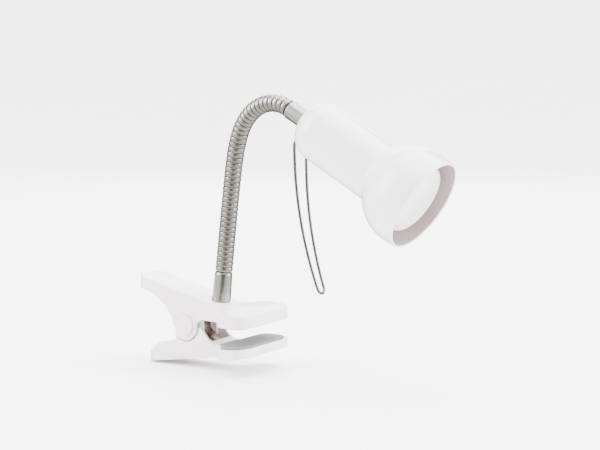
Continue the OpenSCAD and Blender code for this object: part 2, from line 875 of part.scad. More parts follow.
// The U at the bottom, from one leg to the other
function u_turn() = [for (i = [1 : turn_steps - 1]) let (a = i * 180 / turn_steps)
    [curve_end[0] + wire_gap_low / 2 * sin(a) * cos(wire_end_turn), -wire_gap_low / 2 * cos(a),
     curve_end[1] + wire_gap_low / 2 * sin(a) * sin(wire_end_turn)]];
function backwards(list) = [for (i = [len(list) - 1 : -1 : 0]) list[i]];

module handle_wire() {
    color("dimgray")
        at_head()
            tube_along(concat(leg(-1), u_turn(), backwards(leg(1))), wire_r, 0, 12, [1, 0, 0]);
}

// ================= Nodes =================

upper_jaw();
lower_jaw();
upper_pad();
lower_pad();
pivot_pin();
pivot_caps();
jaw_spring();
lower_sleeve();
sleeve_washer();
sleeve_nut();
cord_grommet();
lead();
link(0);  // neck_link_01
link(1);  // neck_link_02
link(2);  // neck_link_03
link(3);  // neck_link_04
link(4);  // neck_link_05
link(5);  // neck_link_06
link(6);  // neck_link_07
link(7);  // neck_link_08
link(8);  // neck_link_09
link(9);  // neck_link_10
link(10);  // neck_link_11
link(11);  // neck_link_12
link(12);  // neck_link_13
link(13);  // neck_link_14
link(14);  // neck_link_15
upper_sleeve();
shade();
shade_washer();
shade_nut();
holder_cap();
holder_body();
holder_shell();
holder_contact();
holder_terminals();
terminal_screws();
bulb_glass();
bulb_cap();
bulb_insulator();
bulb_contact();
bulb_stem();
bulb_filament();
handle_wire();
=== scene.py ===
# %% [markdown]
# # A clip-on reading lamp
# The lamp has a sprung plastic clip, a flexible metal neck and a small white spot head.
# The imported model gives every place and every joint. This script adds the looks: soft
# plastic edges, a hose that bends without gaps, spun and painted metal, and a pearly bulb.

# %% The frame
import json
import math

import bmesh
import bpy
from mathutils import Matrix, Vector


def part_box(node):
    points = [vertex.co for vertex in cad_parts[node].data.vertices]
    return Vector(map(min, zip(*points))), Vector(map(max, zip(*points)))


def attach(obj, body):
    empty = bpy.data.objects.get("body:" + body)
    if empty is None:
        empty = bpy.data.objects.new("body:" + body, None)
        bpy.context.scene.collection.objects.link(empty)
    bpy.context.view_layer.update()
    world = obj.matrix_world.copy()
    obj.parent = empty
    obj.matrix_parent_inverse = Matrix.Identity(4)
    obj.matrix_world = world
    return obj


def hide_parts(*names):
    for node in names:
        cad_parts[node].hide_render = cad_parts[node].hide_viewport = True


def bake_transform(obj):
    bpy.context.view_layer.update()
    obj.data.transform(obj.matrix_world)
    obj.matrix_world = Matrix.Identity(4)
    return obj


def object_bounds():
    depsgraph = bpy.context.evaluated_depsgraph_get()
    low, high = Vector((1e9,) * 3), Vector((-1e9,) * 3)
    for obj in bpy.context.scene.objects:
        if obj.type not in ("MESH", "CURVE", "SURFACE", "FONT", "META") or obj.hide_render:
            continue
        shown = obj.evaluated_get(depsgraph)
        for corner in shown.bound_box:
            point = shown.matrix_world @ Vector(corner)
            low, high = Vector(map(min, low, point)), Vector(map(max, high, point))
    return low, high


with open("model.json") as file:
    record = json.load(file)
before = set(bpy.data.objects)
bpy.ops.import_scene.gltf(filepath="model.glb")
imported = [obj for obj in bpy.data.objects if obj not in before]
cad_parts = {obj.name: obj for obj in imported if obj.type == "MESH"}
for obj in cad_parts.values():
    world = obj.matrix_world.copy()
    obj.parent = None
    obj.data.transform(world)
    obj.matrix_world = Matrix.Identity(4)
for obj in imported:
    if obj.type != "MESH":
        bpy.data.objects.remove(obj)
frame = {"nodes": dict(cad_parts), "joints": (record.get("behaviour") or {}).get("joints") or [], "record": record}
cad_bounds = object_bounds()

MM = 0.001
ACROSS = Vector((0, 1, 0))

# %% [markdown]
# ## Camera
# The lamp is seen from the front right of its handles, slightly from above. A long lens
# keeps it nearly free of perspective, so upright lines stay upright.

# %% Camera
LENS_MM = 117
CAMERA_PITCH = math.radians(82.55)
CAMERA_TURN = math.radians(32.3)
CAMERA_PLACE = Vector((0.7246, -1.0851, 0.2377))

camera = bpy.data.objects.new("camera", bpy.data.cameras.new("camera"))
camera.data.lens = LENS_MM
camera.data.sensor_width = 36
camera.location = CAMERA_PLACE
camera.rotation_euler = (CAMERA_PITCH, 0, CAMERA_TURN)
bpy.context.scene.collection.objects.link(camera)
bpy.context.scene.camera = camera

# %% [markdown]
# ## Floor and light
# A lamp this small is shown on a pale floor. A large soft light from the upper left models
# the white forms, weaker ones come from the right and from behind, and a broad light from
# above keeps the floor even. The world around the lamp is what its metal mirrors.

# %% Floor
FLOOR_HALF = 30.0
floor_z = cad_bounds[0].z - 0.2 * MM
bm = bmesh.new()
bmesh.ops.create_grid(bm, x_segments=1, y_segments=1, size=FLOOR_HALF,
                      matrix=Matrix.Translation((0, 0, floor_z)))
floor_mesh = bpy.data.meshes.new("floor")
bm.to_mesh(floor_mesh)
bm.free()
floor = bpy.data.objects.new("floor", floor_mesh)
bpy.context.scene.collection.objects.link(floor)

# %% Lights
KEY_WATTS = 32
SIDE_WATTS = 22
BACK_WATTS = 14
SKY_STRENGTH = 11
SKY_SOFTNESS = 70


def soft_light(name, place, target, size, size_y, watts):
    """A rectangular light at place that shines on target."""
    data = bpy.data.lights.new(name, "AREA")
    data.shape = "RECTANGLE"
    data.size = size
    data.size_y = size_y
    data.energy = watts
    light = bpy.data.objects.new(name, data)
    light.location = place
    light.rotation_mode = "QUATERNION"
    light.rotation_quaternion = (Vector(target) - Vector(place)).to_track_quat("-Z", "Y")
    bpy.context.scene.collection.objects.link(light)
    return light


def sky_light(name, direction, softness, strength):
    """A light from far away in a direction, as broad as softness in degrees."""
    data = bpy.data.lights.new(name, "SUN")
    data.angle = math.radians(softness)
    data.energy = strength
    light = bpy.data.objects.new(name, data)
    light.rotation_mode = "QUATERNION"
    light.rotation_quaternion = Vector(direction).to_track_quat("Z", "Y")
    bpy.context.scene.collection.objects.link(light)
    return light


LAMP_MIDDLE = (cad_bounds[0] + cad_bounds[1]) / 2
soft_light("key", (-0.75, -0.75, 0.75), LAMP_MIDDLE, 0.7, 1.0, KEY_WATTS)
soft_light("side", (0.95, 0.35, 0.35), LAMP_MIDDLE, 0.5, 0.9, SIDE_WATTS)
soft_light("back", (-0.5, 0.9, 0.6), LAMP_MIDDLE, 0.7, 0.9, BACK_WATTS)
sky_light("sky", (0.1, 0.25, 1), SKY_SOFTNESS, SKY_STRENGTH)

# %% World
# Bright to the left and right of the lamp, and dark in front of it and behind, as with
# black flags. That gives round metal a dark middle and dark edges. A flag's two numbers are
# the cosines, from straight in front, at which it starts and is full.
FRONT_FLAG = (0.70, 0.95)
REAR_FLAG = (-0.30, -0.70)
BRIGHT_WALL = (1.0, 0.99, 0.98, 1)
BLACK_CLOTH = (0.10, 0.095, 0.09, 1)
BACKDROP_TONE = (1.4, 1.4, 1.4, 1)
WORLD_STRENGTH = 3.2

world = bpy.data.worlds.new("studio")
world.use_nodes = True
sky = world.node_tree
toward = sky.nodes.new("ShaderNodeVectorMath")
toward.operation = "DOT_PRODUCT"
toward.inputs[1].default_value = (CAMERA_PLACE - LAMP_MIDDLE).normalized()
sky.links.new(sky.nodes.new("ShaderNodeTexCoord").outputs["Generated"], toward.inputs[0])


def flag(first, last):
    """How much of a black flag covers a direction, from first to last."""
    fall = sky.nodes.new("ShaderNodeMapRange")
    fall.interpolation_type = "SMOOTHSTEP"
    fall.inputs["From Min"].default_value = first
    fall.inputs["From Max"].default_value = last
    sky.links.new(toward.outputs["Value"], fall.inputs["Value"])
    return fall.outputs["Result"]


flags = sky.nodes.new("ShaderNodeMath")
flags.operation = "MAXIMUM"
sky.links.new(flag(*FRONT_FLAG), flags.inputs[0])
sky.links.new(flag(*REAR_FLAG), flags.inputs[1])
tone = sky.nodes.new("ShaderNodeMix")
tone.data_type = "RGBA"
tone.inputs["A"].default_value = BRIGHT_WALL
tone.inputs["B"].default_value = BLACK_CLOTH
sky.links.new(flags.outputs["Value"], tone.inputs["Factor"])
backdrop = sky.nodes.new("ShaderNodeMix")
backdrop.data_type = "RGBA"
backdrop.inputs["B"].default_value = BACKDROP_TONE
seen = sky.nodes.new("ShaderNodeLightPath")
sky.links.new(seen.outputs["Is Camera Ray"], backdrop.inputs["Factor"])
sky.links.new(tone.outputs["Result"], backdrop.inputs["A"])
sky.links.new(backdrop.outputs["Result"], sky.nodes["Background"].inputs["Color"])
sky.nodes["Background"].inputs["Strength"].default_value = WORLD_STRENGTH
bpy.context.scene.world = world

# The floor stays out of the metal, which then shows its dark edges down to the ground.
floor.visible_glossy = False

# %% [markdown]
# ## Places from the frame
# The joints say where the neck bends. The nut under the clip's top and the bulb's contact
# lie on the axes of the neck's foot and the head, so each axis is the line through the end
# of the neck and the middle of that node.

# %% Places
neck_joints = [joint for joint in frame["joints"] if joint["name"].startswith("neck_")]
neck_points = [Vector(joint["pos_m"]) for joint in neck_joints]
inlet = Vector(next(m for m in frame["record"]["mounts"] if m["name"] == "cord_inlet")["pos_m"])


def middle(node):
    """The centre of a node's box."""
    low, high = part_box(node)
    return (low + high) / 2


SLEEVE_L = 20.6 * MM
END_GAP = 0.6 * MM
seat_axis = (neck_points[0] - middle("sleeve_nut")).normalized()
head_axis = (middle("bulb_contact") - neck_points[-1]).normalized()
seat = neck_points[0] - (SLEEVE_L + END_GAP) * seat_axis


def upright_to(origin, axis):
    """The matrix that puts a piece made upright at the origin onto an axis in the lamp's plane."""
    return Matrix.Translation(origin) @ Matrix.Rotation(math.atan2(axis.x, axis.z), 4, "Y")


on_seat = upright_to(seat, seat_axis)
on_head = upright_to(neck_points[-1], head_axis)
print("head turned", round(math.degrees(math.atan2(head_axis.x, head_axis.z)), 2), "degrees")

# %% [markdown]
# ## Shared effects
# Real surfaces are never quite even. *Mottle* gives soft clouds that vary colour and
# gloss, *Grain* gives a fine height for a bump, and the edge group finds convex edges,
# which the finishes lighten as rubbed metal and as a painted highlight on white parts.
# They are node groups, built once, and each material places them with its own numbers.


# %% Node groups
def new_group(name, inputs, outputs):
    """A shader node group with float inputs {name: default} and outputs {name: socket type}."""
    group = bpy.data.node_groups.new(name, "ShaderNodeTree")
    for label, default in inputs.items():
        socket = group.interface.new_socket(label, in_out="INPUT", socket_type="NodeSocketFloat")
        socket.default_value = default
    for label, kind in outputs.items():
        group.interface.new_socket(label, in_out="OUTPUT", socket_type=kind)
    return group, group.nodes.new("NodeGroupInput"), group.nodes.new("NodeGroupOutput")


def mottle_group():
    """Soft clouds from 0 to 1 on Object coordinates."""
    group, given, result = new_group(
        "Mottle", {"Scale": 60, "Detail": 4}, {"Mask": "NodeSocketFloat"})
    place = group.nodes.new("ShaderNodeTexCoord")
    noise = group.nodes.new("ShaderNodeTexNoise")
    spread = group.nodes.new("ShaderNodeMapRange")
    spread.inputs["From Min"].default_value = 0.3
    spread.inputs["From Max"].default_value = 0.7
    group.links.new(place.outputs["Object"], noise.inputs["Vector"])
    group.links.new(given.outputs["Scale"], noise.inputs["Scale"])
    group.links.new(given.outputs["Detail"], noise.inputs["Detail"])
    group.links.new(noise.outputs["Fac"], spread.inputs["Value"])
    group.links.new(spread.outputs["Result"], result.inputs["Mask"])
    return group


def grain_group():
    """A fine height on Object coordinates. A stretch above 1 packs it, below 1 draws it out."""
    group, given, result = new_group(
        "Grain", {"Scale": 900, "Stretch X": 1, "Stretch Y": 1, "Stretch Z": 1},
        {"Height": "NodeSocketFloat"})
    place = group.nodes.new("ShaderNodeTexCoord")
    shape = group.nodes.new("ShaderNodeCombineXYZ")
    stretch = group.nodes.new("ShaderNodeVectorMath")
    stretch.operation = "MULTIPLY"
    noise = group.nodes.new("ShaderNodeTexNoise")
    noise.inputs["Detail"].default_value = 3
    for axis in "XYZ":
        group.links.new(given.outputs["Stretch " + axis], shape.inputs[axis])
    group.links.new(place.outputs["Object"], stretch.inputs[0])
    group.links.new(shape.outputs["Vector"], stretch.inputs[1])
    group.links.new(stretch.outputs["Vector"], noise.inputs["Vector"])
    group.links.new(given.outputs["Scale"], noise.inputs["Scale"])
    group.links.new(noise.outputs["Fac"], result.inputs["Height"])
    return group


def wear_and_edge_highlight_group():
    """1 on convex edges, broken up by noise, and 0 elsewhere: rubbed metal where hands rub
    metal parts, and a painted highlight on the white parts.
    """
    group, given, result = new_group("WearAndEdgeHighlight", {"Edge": 0.53, "Scale": 500}, {"Mask": "NodeSocketFloat"})
    shape = group.nodes.new("ShaderNodeNewGeometry")
    edge = group.nodes.new("ShaderNodeMapRange")
    edge.inputs["To Max"].default_value = 1
    place = group.nodes.new("ShaderNodeTexCoord")
    noise = group.nodes.new("ShaderNodeTexNoise")
    upper = group.nodes.new("ShaderNodeMath")
    upper.operation = "ADD"
    upper.inputs[1].default_value = 0.08
    product = group.nodes.new("ShaderNodeMath")
    product.operation = "MULTIPLY"
    group.links.new(shape.outputs["Pointiness"], edge.inputs["Value"])
    group.links.new(given.outputs["Edge"], edge.inputs["From Min"])
    group.links.new(given.outputs["Edge"], upper.inputs[0])
    group.links.new(upper.outputs["Value"], edge.inputs["From Max"])
    group.links.new(place.outputs["Object"], noise.inputs["Vector"])
    group.links.new(given.outputs["Scale"], noise.inputs["Scale"])
    group.links.new(edge.outputs["Result"], product.inputs[0])
    group.links.new(noise.outputs["Fac"], product.inputs[1])
    group.links.new(product.outputs["Value"], result.inputs["Mask"])
    return group


MOTTLE, GRAIN, WEAR_AND_EDGE_HIGHLIGHT = mottle_group(), grain_group(), wear_and_edge_highlight_group()

# %% [markdown]
# ## Finishes
# Each finish starts from the Principled shader. Two colours are mixed by the mottle, the
# roughness moves a little with it, convex edges get a lighter colour, which is rubbed metal
# on metal parts and a painted highlight on white parts, and the grain drives a bump. Values
# that are even all over the surface sit on the shader's own sockets.


# %% A finish
def finish(name, colour, other, rough, rough_other, clouds=60, grain=900, stretch=(1, 1, 1),
           depth=0.05, wear_and_highlight=None, painted_shade=None, **sockets):
    """A material of two mixed colours with mottled gloss and a fine bump.

    The colour for worn edges is lighter: rubbed metal on metal parts and a painted highlight
    on white parts. The colour for grooves is painted shade, laid where the piece's own
    attribute marks grooves and hollows.
    """
    material = bpy.data.materials.new(name)
    material.use_nodes = True
    tree = material.node_tree
    shader = tree.nodes["Principled BSDF"]
    for label, value in sockets.items():
        shader.inputs[label.replace("_", " ")].default_value = value

    def group(kind, **values):
        node = tree.nodes.new("ShaderNodeGroup")
        node.node_tree = kind
        for label, value in values.items():
            node.inputs[label.replace("_", " ")].default_value = value
        return node

    def mixed(mask, first, second):
        """A colour mix whose first colour may be a socket."""
        mix = tree.nodes.new("ShaderNodeMix")
        mix.data_type = "RGBA"
        tree.links.new(mask, mix.inputs["Factor"])
        if isinstance(first, bpy.types.NodeSocket):
            tree.links.new(first, mix.inputs["A"])
        else:
            mix.inputs["A"].default_value = (*first, 1)
        mix.inputs["B"].default_value = (*second, 1)
        return mix.outputs["Result"]

    mottle = group(MOTTLE, Scale=clouds).outputs["Mask"]
    shade = mixed(mottle, colour, other)
    # Convex edges get a lighter colour: rubbed metal on metal parts, a painted highlight on white parts.
    if wear_and_highlight:
        shade = mixed(group(WEAR_AND_EDGE_HIGHLIGHT).outputs["Mask"], shade, wear_and_highlight)
    gloss = tree.nodes.new("ShaderNodeMapRange")
    gloss.inputs["To Min"].default_value = rough
    gloss.inputs["To Max"].default_value = rough_other
    tree.links.new(mottle, gloss.inputs["Value"])
    # Painted shade: the colour goes dark where the piece's attribute marks grooves and hollows.
    if painted_shade:
        low = tree.nodes.new("ShaderNodeAttribute")
        low.attribute_name = "PaintedShade"
        shade = mixed(low.outputs["Fac"], shade, painted_shade)
    tree.links.new(shade, shader.inputs["Base Color"])
    tree.links.new(gloss.outputs["Result"], shader.inputs["Roughness"])
    bump = tree.nodes.new("ShaderNodeBump")
    bump.inputs["Strength"].default_value = depth
    bump.inputs["Distance"].default_value = 0.1 * MM
    height = group(GRAIN, Scale=grain, Stretch_X=stretch[0], Stretch_Y=stretch[1],
                   Stretch_Z=stretch[2])
    tree.links.new(height.outputs["Height"], bump.inputs["Height"])
    tree.links.new(bump.outputs["Normal"], shader.inputs["Normal"])
    return material


# %% [markdown]
# ## The lamp's materials
# The clip is a warm white glossy moulding and the head is white gloss enamel. The hose and
# sleeves are satin nickel, the wire is a darker bright chrome, and the spring is bronzed.
# The bulb's face is pearl glass with large pink clouds of painted reflection, and its back
# is silvered.

# %% Materials
# Each lighter edge colour below is rubbed metal on the metal parts and a painted highlight on the white clip and
# shade.
white_plastic = finish("white_plastic", (0.75, 0.675, 0.685), (0.715, 0.64, 0.65), 0.26, 0.36,
                       clouds=45, grain=2500, depth=0.10, wear_and_highlight=(0.79, 0.725, 0.735),
                       Coat_Weight=0.25, Coat_Roughness=0.12, Specular_IOR_Level=0.5,
                       Subsurface_Weight=0.05, Subsurface_Scale=2 * MM)
# The enamel's dark groove colour is painted shade on the inside of the shade.
enamel = finish("shade_white", (0.76, 0.715, 0.71), (0.73, 0.68, 0.678), 0.20, 0.28, clouds=30,
                grain=700, depth=0.06, wear_and_highlight=(0.80, 0.765, 0.76), painted_shade=(0.40, 0.335, 0.325),
                Coat_Weight=0.5, Coat_Roughness=0.06)
pad_rubber = finish("pad_rubber", (0.16, 0.16, 0.165), (0.22, 0.22, 0.225), 0.62, 0.8, clouds=150,
                    grain=1800, depth=0.5)
satin_nickel = finish("satin_nickel", (0.27, 0.258, 0.232), (0.21, 0.20, 0.18), 0.2, 0.3,
                      clouds=120, grain=1500, stretch=(1, 1, 8), depth=0.12,
                      wear_and_highlight=(0.42, 0.405, 0.38), Metallic=1.0)
# The hose's near-black groove colour is painted shade between the ribs.
hose_steel = finish("hose_steel", (0.24, 0.228, 0.205), (0.175, 0.165, 0.148), 0.24, 0.36,
                    clouds=160, grain=2200, depth=0.15, wear_and_highlight=(0.38, 0.365, 0.34),
                    painted_shade=(0.05, 0.045, 0.04), Metallic=1.0)
wire_chrome = finish("wire_chrome", (0.16, 0.152, 0.143), (0.12, 0.113, 0.106), 0.14, 0.24,
                     clouds=140, grain=1600, stretch=(1, 1, 0.2), depth=0.08, Metallic=1.0)
spring_steel = finish("spring_steel", (0.21, 0.15, 0.115), (0.13, 0.09, 0.07), 0.3, 0.48,
                      clouds=220, grain=1800, stretch=(1, 0.15, 1), depth=0.2,
                      wear_and_highlight=(0.4, 0.33, 0.28), Metallic=1.0)
pin_steel = finish("pin_steel", (0.58, 0.58, 0.57), (0.47, 0.47, 0.465), 0.3, 0.42, clouds=250,
                   grain=1500, depth=0.15, wear_and_highlight=(0.75, 0.75, 0.74), Metallic=1.0)
brass = finish("brass", (0.72, 0.55, 0.25), (0.62, 0.45, 0.19), 0.22, 0.36, clouds=200, grain=1500,
               depth=0.12, wear_and_highlight=(0.85, 0.7, 0.4), Metallic=1.0)
cap_aluminium = finish("cap_nickel", (0.72, 0.72, 0.73), (0.63, 0.63, 0.64), 0.25, 0.38, clouds=180,
                       grain=1600, depth=0.12, Metallic=1.0)
vitrite = finish("insulator", (0.03, 0.03, 0.035), (0.05, 0.05, 0.055), 0.15, 0.3, clouds=300, grain=900,
                 depth=0.1)
tungsten = finish("filament", (0.35, 0.35, 0.36), (0.26, 0.26, 0.27), 0.35, 0.5, clouds=400, grain=3000,
                  depth=0.2, Metallic=1.0)
holder_plastic = finish("holder_plastic", (0.74, 0.715, 0.67), (0.70, 0.67, 0.62), 0.42, 0.55,
                        clouds=90, grain=1500, depth=0.2)
lead_jacket = finish("lead_jacket", (0.78, 0.77, 0.75), (0.72, 0.71, 0.69), 0.45, 0.55, clouds=140,
                     grain=1200, depth=0.15)
# The second, pinker colour in large clouds is painted reflection on the bulb's face.
pearl_glass_painted_reflection = finish("bulb_glass", (0.84, 0.80, 0.80), (0.66, 0.575, 0.59), 0.30, 0.42, clouds=30,
                     grain=2600, depth=0.12, Coat_Weight=0.6, Coat_Roughness=0.08, Subsurface_Weight=0.3,
                     Subsurface_Scale=4 * MM)
mirror_back = finish("bulb_silvering", (0.78, 0.78, 0.79), (0.7, 0.7, 0.71), 0.12, 0.2, clouds=80,
                     grain=1200, depth=0.05, Metallic=1.0)
stem_glass = finish("stem_glass", (0.93, 0.95, 0.95), (0.90, 0.93, 0.93), 0.03, 0.06, clouds=100,
                    grain=800, depth=0.02, IOR=1.5, Transmission_Weight=0.9)
floor_paint = finish("floor_paint", (0.93, 0.93, 0.93), (0.92, 0.92, 0.92), 0.6, 0.7, clouds=4, grain=300,
                     depth=0.02)
floor.data.materials.append(floor_paint)

MATERIAL_OF_SLOT = {
    "white_plastic": white_plastic, "pad_rubber": pad_rubber, "pin_steel": pin_steel,
    "spring_steel": spring_steel, "satin_nickel": satin_nickel, "hose_steel": hose_steel,
    "lead_jacket": lead_jacket, "shade_white": enamel, "holder_plastic": holder_plastic,
    "brass": brass, "bulb_glass": pearl_glass_painted_reflection, "cap_nickel": cap_aluminium, "insulator": vitrite,
    "filament": tungsten, "stem_glass": stem_glass, "wire_chrome": wire_chrome}

# %% [markdown]
# ## Nodes that stay
# Pins, nuts, screws and the bulb's inner parts already have the right shape. They keep
# their solids and only get a finish, by the slot that the record gives them.

# %% Finish every node
for subpart in frame["record"]["subparts"]:
    node = frame["nodes"][subpart["node"]]
    node.data.materials.clear()
    node.data.materials.append(MATERIAL_OF_SLOT[subpart["material_slot"]])

# %% [markdown]
# ## Tools for pieces
# Most of this lamp is turned, swept or moulded. A turned piece is an outline spun round its
# axis, a swept one is a ring extruded along a path, and a moulded one is a node's own
# solid with its edges rounded, as plastic leaves a mould.


# %% From a bmesh to a piece
def piece(name, bm, slot, place=None, material=None, sharp=35):
    """Turns a bmesh into an object with outward faces and its material, at its place."""
    bmesh.ops.remove_doubles(bm, verts=bm.verts, dist=0.001 * MM)
    if place:
        bmesh.ops.transform(bm, matrix=place, verts=bm.verts)
    bmesh.ops.recalc_face_normals(bm, faces=bm.faces)
    mesh = bpy.data.meshes.new(name)
    bm.to_mesh(mesh)
    bm.free()
    mesh.shade_smooth()
    mesh.set_sharp_from_angle(angle=math.radians(sharp))
    mesh.materials.append(material or MATERIAL_OF_SLOT[slot])
    made = bpy.data.objects.new(name, mesh)
    bpy.context.scene.collection.objects.link(made)
    return made


# %% A turned piece
def rounded(corners, steps=5):
    """An outline with curved corners, from (radius, height, rounding) in millimetres."""
    outline = []
    for i, (radius, height, rounding) in enumerate(corners):
        here = Vector((radius, height))
        before = Vector(corners[i - 1][:2]) - here
        after = Vector(corners[(i + 1) % len(corners)][:2]) - here
        if rounding == 0:
            outline.append(here)
            continue
        start = here + before.normalized() * min(rounding, 0.45 * before.length)
        stop = here + after.normalized() * min(rounding, 0.45 * after.length)
        for step in range(steps + 1):
            t = step / steps
            outline.append(start * (1 - t) ** 2 + here * 2 * t * (1 - t) + stop * t * t)
    return outline


def turned(outline, steps=96, low=()):
    """Spins a closed outline of (radius, height) in millimetres into a solid.

    Its attribute for painted shade is 1 at the points whose numbers are in low, and 0 elsewhere.
    """
    bm = bmesh.new()
    layer = bm.verts.layers.float.new("PaintedShade")
    verts = [bm.verts.new((max(p[0], 0) * MM, 0, p[1] * MM)) for p in outline]
    for i, vert in enumerate(verts):
        vert[layer] = 1.0 if i in low else 0.0
    edges = [bm.edges.new((verts[i - 1], verts[i])) for i in range(len(verts))]
    bmesh.ops.spin(bm, geom=verts + edges, cent=(0, 0, 0), axis=(0, 0, 1), angle=math.tau,
                   steps=steps, use_merge=True)
    bmesh.ops.dissolve_degenerate(bm, dist=0.0005 * MM, edges=bm.edges)
    return bm


# %% A swept piece
def ring_at(centre, direction, side, radius):
    """The matrix of a ring round a path, and the side vector that goes on to the next ring."""
    side = (side - direction * side.dot(direction)).normalized()
    turn = Matrix((side, direction.cross(side), direction)).transposed().to_4x4()
    return Matrix.Translation(centre) @ turn @ Matrix.Diagonal((radius, radius, radius, 1)), side


def sweep(bm, centres, radii, side, sides, shift=0.0, painted_shade=None):
    """Extrudes a ring along the centres, moved sideways by shift.

    The groove mask gives each ring its attribute for painted shade. Returns the first and the last loop of edges.
    """
    count = len(centres)
    loop, first, last_matrix, verts = None, None, None, None
    layer = bm.verts.layers.float.get("PaintedShade") or bm.verts.layers.float.new("PaintedShade")
    for i, (centre, radius) in enumerate(zip(centres, radii)):
        direction = (centres[min(i + 1, count - 1)] - centres[max(i - 1, 0)]).normalized()
        matrix, side = ring_at(centre, direction, side, radius)
        matrix = Matrix.Translation(side * shift) @ matrix
        if loop is None:
            verts = bmesh.ops.create_circle(bm, segments=sides, radius=1, matrix=matrix)["verts"]
            loop = list({edge for vert in verts for edge in vert.link_edges})
            first = loop
        else:
            grown = bmesh.ops.extrude_edge_only(bm, edges=loop)["geom"]
            verts = [g for g in grown if isinstance(g, bmesh.types.BMVert)]
            fresh = set(verts)
            loop = [g for g in grown
                    if isinstance(g, bmesh.types.BMEdge) and set(g.verts) <= fresh]
            bmesh.ops.transform(bm, matrix=matrix @ last_matrix.inverted(), verts=verts)
        for vert in verts:
            vert[layer] = painted_shade[i] if painted_shade else 0.0
        last_matrix = matrix
    return first, loop


def closed_rod(bm, centres, radii, side, sides, shift=0.0):
    """A swept rod with both ends filled."""
    for loop in sweep(bm, centres, radii, side, sides, shift):
        bmesh.ops.edgeloop_fill(bm, edges=loop)


# %% A moulded piece
FLAT = math.radians(1)
SHARP_EDGE = math.radians(24)


def moulded(name, node, slot, edge_mm, segments=3):
    """A copy of a node's solid, merged, cleaned to its real faces and rounded along its edges."""
    bm = bmesh.new()
    bm.from_mesh(frame["nodes"][node].data)
    bmesh.ops.remove_doubles(bm, verts=bm.verts, dist=0.002 * MM)
    bmesh.ops.dissolve_degenerate(bm, dist=0.002 * MM, edges=bm.edges)
    bmesh.ops.dissolve_limit(bm, angle_limit=FLAT, verts=bm.verts, edges=bm.edges)
    edges = [e for e in bm.edges if e.is_manifold and e.calc_face_angle() > SHARP_EDGE]
    bmesh.ops.bevel(bm, geom=edges, offset=edge_mm * MM, offset_type="OFFSET", segments=segments,
                    profile=0.5, affect="EDGES", clamp_overlap=True, material=-1)
    made = piece(name, bm, slot)
    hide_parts(node)
    print(name, len(made.data.polygons), "faces")
    return made


# %% [markdown]
# ## Clip
# The two jaws are hollow mouldings whose edges are all a little round. Each copy keeps
# the jaw's own form, and a bevel along its sharp edges catches the light.

# %% Jaws, pads and pivot caps
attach(moulded("upper_jaw_moulding", "upper_jaw", "white_plastic", 0.7), "clip")
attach(moulded("lower_jaw_moulding", "lower_jaw", "white_plastic", 0.6), "lower_jaw")
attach(moulded("upper_pad_soft", "upper_pad", "pad_rubber", 0.4), "clip")
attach(moulded("lower_pad_soft", "lower_pad", "pad_rubber", 0.4), "lower_jaw")
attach(moulded("pivot_cap_pair", "pivot_caps", "white_plastic", 0.6, 4), "clip")

# %% [markdown]
# ## Jaw spring
# A bent strip of bronzed steel pushes the jaws together. Its rounded copy keeps its place
# in the lamp, baked into its mesh.

# %% Jaw spring
spring = moulded("jaw_spring_strip", "jaw_spring", "spring_steel", 0.12, 2)
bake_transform(spring)

# %% [markdown]
# ## Sleeves and grommet
# Two turned nickel sleeves end the hose, and a turned grommet lines the cord's way in.
# Outlines are in millimetres from each piece's own seat.

# %% Sleeves
BORE_R = 2.7
COLLAR_L = 13.7
DOME_Z = END_GAP / MM + COLLAR_L
lower_sleeve = piece("lower_sleeve_turned", turned(rounded([
    (BORE_R, -7.4, 0), (4.7, -7.4, 0), (5, -7.1, 0), (5, 0, 0), (6.35, 0, 0), (6.55, 0.3, 0.2),
    (6.05, 19.3, 0.8), (5.5, 20.3, 0.4), (5.15, 20.6, 0.2), (BORE_R, 20.6, 0.2)])), "satin_nickel", on_seat)
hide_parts("lower_sleeve")
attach(lower_sleeve, "clip")

upper_sleeve = piece("upper_sleeve_turned", turned(rounded([
    (BORE_R, 0.6, 0), (5.3, 0.6, 0.2), (5.75, 0.75, 0.2), (6.35, 1.5, 0.3), (6.35, DOME_Z + 0.35, 0),
    (5, DOME_Z + 0.35, 0), (5, DOME_Z + 10.4, 0.3), (BORE_R, DOME_Z + 10.4, 0)])), "satin_nickel", on_head)
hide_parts("upper_sleeve")
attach(upper_sleeve, "head")

# %% Grommet
GROMMET_STEPS = 64
grommet_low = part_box("cord_grommet")[0]
grommet_seat = Matrix.Translation((inlet.x, grommet_low.y, inlet.z))
outward = grommet_seat @ Matrix.Rotation(math.radians(-90), 4, "X")
grommet = piece("cord_grommet_ring", turned(rounded([
    (2.9, 0, 0.3), (5, 0, 0.3), (5, 1, 0), (3.95, 1, 0), (3.95, 3.2, 0), (5, 3.2, 0.1), (5, 3.9, 0.6),
    (4.2, 5, 0.5), (2.9, 5, 0.6)]), GROMMET_STEPS), "white_plastic", outward)
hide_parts("cord_grommet")
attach(grommet, "clip")

# %% [markdown]
# ## Neck curve
# The hose follows one smooth curve through the joints. Between two joints it is a cubic
# with the direction shared at each joint, so there is no kink. Every rib takes the same
# share of its length, with more rings at its shoulders than on its crest.

# %% Neck curve
RIB_PITCH = 3.45 * MM
RIB_STEPS = (0.0, 0.05, 0.12, 0.26, 0.5, 0.74, 0.88, 0.95)
CREST_R = 5.9 * MM
CREST_POWER = 6
GROOVE_DEPTH = 0.8 * MM


def unit(vector):
    """The vector at length 1."""
    return vector.normalized()


chords = [unit(b - a) for a, b in zip(neck_points, neck_points[1:])]
directions = [seat_axis] + [unit(a + b) for a, b in zip(chords, chords[1:])] + [head_axis]


